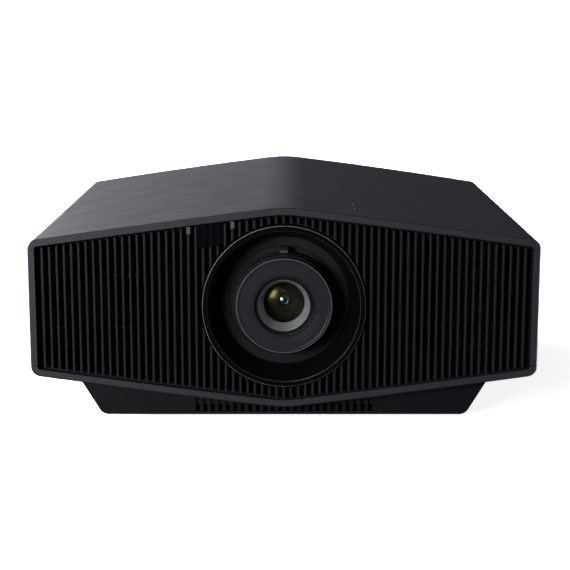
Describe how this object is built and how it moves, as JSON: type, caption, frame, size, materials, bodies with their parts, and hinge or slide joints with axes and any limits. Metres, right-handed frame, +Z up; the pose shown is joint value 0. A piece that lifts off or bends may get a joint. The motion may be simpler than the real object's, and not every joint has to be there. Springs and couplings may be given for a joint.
{
  "type": "home projector",
  "caption": "Home cinema projector with a ridged black casing, upright-finned front grille, central lens with manual lens shift, focus and zoom, and rear terminals.",
  "frame": {"origin": "under the middle of the casing, on the surface that its feet stand on", "axes": "+Z up, -Y out of the lens, +X to the right seen from in front"},
  "size_m": [0.46, 0.472, 0.2],
  "materials": {
    "shell_paint": "fine textured black paint, satin-matt",
    "rear_plastic": "matt moulded",
    "base_plastic": "matt moulded",
    "grille_plastic": "satin moulded",
    "screen_metal": "black painted perforated sheet",
    "ring_plastic": "satin ring, matt funnel",
    "smoky_window": "smoky tint",
    "light_guide": "frosted",
    "steel": "galvanised",
    "cast_alloy": "die cast",
    "alloy": "satin",
    "rod_steel": "ground",
    "dial_plastic": "satin",
    "lens_black": "black anodised",
    "lens_face": "blue-black anodised",
    "baffle_satin": "satin grey anodised",
    "lens_glass": "coated optical glass",
    "shield_plastic": "matt",
    "panel_ceramic": "ceramic package",
    "phosphor": "phosphor-coated disc",
    "motor_black": "black",
    "fan_plastic": "moulded",
    "circuit_board": "solder mask",
    "terminal_metal": "black powder coat",
    "port_metal": "nickel plated",
    "port_plastic": "moulded",
    "foot_rubber": "moulded",
    "stud_steel": "zinc plated",
    "screw_black": "black oxide",
    "button_plastic": "satin"
  },
  "bodies": {
    "casing": {"top_cover": "shell_paint", "left_side_panel": "shell_paint", "right_side_panel": "shell_paint", "bottom_cover": "shell_paint", "rear_panel": "rear_plastic", "base_tub": "base_plastic", "front_grille": "grille_plastic", "exhaust_screen": "screen_metal", "lens_surround": "ring_plastic", "ir_window": "smoky_window", "indicator_guides": "light_guide", "shift_well": "base_plastic", "chassis": "steel", "lens_mount_frame": "cast_alloy", "h_guide_rods": "rod_steel", "engine_housing": "cast_alloy", "prism_glass": "lens_glass", "imaging_panels": "panel_ceramic", "wheel_motor": "motor_black", "laser_bank": "alloy", "heat_sink": "alloy", "fan_frames": "fan_plastic", "power_board": "circuit_board", "main_board": "circuit_board", "terminal_panel": "terminal_metal", "port_shells": "port_metal", "port_inserts": "port_plastic", "ac_inlet": "port_plastic", "rear_feet": "foot_rubber", "case_screws": "screw_black"},
    "shift_cover": {"shift_cover": "shell_paint"},
    "h_carriage": {"h_carriage": "cast_alloy", "v_guide_rods": "rod_steel"},
    "h_dial": {"h_shift_dial": "dial_plastic"},
    "v_dial": {"v_shift_dial": "dial_plastic"},
    "lens": {"v_carriage": "cast_alloy", "lens_barrel": "lens_black", "lens_front_ring": "lens_face", "lens_baffle": "baffle_satin", "front_lens": "lens_glass", "dust_shield": "shield_plastic"},
    "focus_ring": {"focus_ring": "lens_black"},
    "focus_group": {"focus_group": "lens_glass"},
    "zoom_ring": {"zoom_ring": "lens_black"},
    "zoom_group": {"zoom_group": "lens_glass"},
    "left_fan": {"left_fan_rotor": "fan_plastic"},
    "right_fan": {"right_fan_rotor": "fan_plastic"},
    "phosphor_wheel": {"phosphor_wheel": "phosphor"},
    "left_foot_pad": {"left_foot_pad": "foot_rubber"},
    "right_foot_pad": {"right_foot_pad": "foot_rubber"},
    "left_foot_screw": {"left_foot_screw": "stud_steel"},
    "right_foot_screw": {"right_foot_screw": "stud_steel"},
    "power_button": {"power_button": "button_plastic"},
    "input_button": {"input_button": "button_plastic"},
    "menu_button": {"menu_button": "button_plastic"},
    "enter_button": {"enter_button": "button_plastic"},
    "up_button": {"up_button": "button_plastic"},
    "down_button": {"down_button": "button_plastic"},
    "left_button": {"left_button": "button_plastic"},
    "right_button": {"right_button": "button_plastic"}
  },
  "joints": [
    {"name": "shift_cover_lift", "type": "slide", "parent": "casing", "child": "shift_cover", "axis": [0, 0, 1], "range_m": [0, 0.05]},
    {"name": "lens_shift_h", "type": "slide", "parent": "casing", "child": "h_carriage", "axis": [1, 0, 0], "range_m": [-0.0034, 0.0034]},
    {"name": "lens_shift_v", "type": "slide", "parent": "h_carriage", "child": "lens", "axis": [0, 0, 1], "range_m": [-0.0054, 0.0054]},
    {"name": "h_dial_turn", "type": "hinge", "parent": "casing", "child": "h_dial", "pos_m": [0.03, -0.182, 0.18], "axis": [1, 0, 0], "range_deg": [-820, 820]},
    {"name": "v_dial_turn", "type": "hinge", "parent": "h_carriage", "child": "v_dial", "pos_m": [-0.03, -0.182, 0.188], "axis": [0, 0, 1], "range_deg": [-1300, 1300]},
    {"name": "focus_turn", "type": "hinge", "parent": "lens", "child": "focus_ring", "pos_m": [0, -0.2205, 0.1102], "axis": [0, 1, 0], "range_deg": [-60, 60]},
    {"name": "focus_group_slide", "type": "slide", "parent": "lens", "child": "focus_group", "axis": [0, 1, 0], "range_m": [-0.0041, 0.0041]},
    {"name": "zoom_turn", "type": "hinge", "parent": "lens", "child": "zoom_ring", "pos_m": [0, -0.2105, 0.1102], "axis": [0, 1, 0], "range_deg": [-30, 30]},
    {"name": "zoom_group_slide", "type": "slide", "parent": "lens", "child": "zoom_group", "axis": [0, 1, 0], "range_m": [-0.0101, 0.0101]},
    {"name": "left_fan_spin", "type": "hinge", "parent": "casing", "child": "left_fan", "pos_m": [-0.168, -0.2095, 0.112], "axis": [0, 1, 0], "continuous": true},
    {"name": "right_fan_spin", "type": "hinge", "parent": "casing", "child": "right_fan", "pos_m": [0.168, -0.2095, 0.112], "axis": [0, 1, 0], "continuous": true},
    {"name": "phosphor_wheel_spin", "type": "hinge", "parent": "casing", "child": "phosphor_wheel", "pos_m": [0.128, -0.0185, 0.1102], "axis": [1, 0, 0], "continuous": true},
    {"name": "left_foot_slide", "type": "slide", "parent": "casing", "child": "left_foot_pad", "axis": [0, 0, -1], "range_m": [0, 0.01]},
    {"name": "left_foot_turn", "type": "hinge", "parent": "left_foot_pad", "child": "left_foot_screw", "pos_m": [-0.135, -0.1745, 0.01], "axis": [0, 0, 1], "range_deg": [0, 2900]},
    {"name": "right_foot_slide", "type": "slide", "parent": "casing", "child": "right_foot_pad", "axis": [0, 0, -1], "range_m": [0, 0.01]},
    {"name": "right_foot_turn", "type": "hinge", "parent": "right_foot_pad", "child": "right_foot_screw", "pos_m": [0.135, -0.1745, 0.01], "axis": [0, 0, 1], "range_deg": [0, 2900]},
    {"name": "power_press", "type": "slide", "parent": "casing", "child": "power_button", "axis": [-1, 0, 0], "range_m": [0, 0.0008], "stiffness_N_per_m": 1500},
    {"name": "input_press", "type": "slide", "parent": "casing", "child": "input_button", "axis": [-1, 0, 0], "range_m": [0, 0.0008], "stiffness_N_per_m": 1500},
    {"name": "menu_press", "type": "slide", "parent": "casing", "child": "menu_button", "axis": [-1, 0, 0], "range_m": [0, 0.0008], "stiffness_N_per_m": 1500},
    {"name": "enter_press", "type": "slide", "parent": "casing", "child": "enter_button", "axis": [-1, 0, 0], "range_m": [0, 0.0008], "stiffness_N_per_m": 1500},
    {"name": "up_press", "type": "slide", "parent": "casing", "child": "up_button", "axis": [-1, 0, 0], "range_m": [0, 0.0008], "stiffness_N_per_m": 1500},
    {"name": "down_press", "type": "slide", "parent": "casing", "child": "down_button", "axis": [-1, 0, 0], "range_m": [0, 0.0008], "stiffness_N_per_m": 1500},
    {"name": "left_press", "type": "slide", "parent": "casing", "child": "left_button", "axis": [-1, 0, 0], "range_m": [0, 0.0008], "stiffness_N_per_m": 1500},
    {"name": "right_press", "type": "slide", "parent": "casing", "child": "right_button", "axis": [-1, 0, 0], "range_m": [0, 0.0008], "stiffness_N_per_m": 1500}
  ],
  "couplings": [
    {"joint": "h_dial_turn", "follows": "lens_shift_h", "rad_per_m": 4188.8},
    {"joint": "v_dial_turn", "follows": "lens_shift_v", "rad_per_m": 4188.8},
    {"joint": "focus_group_slide", "follows": "focus_turn", "m_per_rad": 0.0038197},
    {"joint": "zoom_group_slide", "follows": "zoom_turn", "m_per_rad": 0.019099},
    {"joint": "left_foot_turn", "follows": "left_foot_slide", "rad_per_m": 5026.5},
    {"joint": "right_foot_turn", "follows": "right_foot_slide", "rad_per_m": 5026.5}
  ]
}
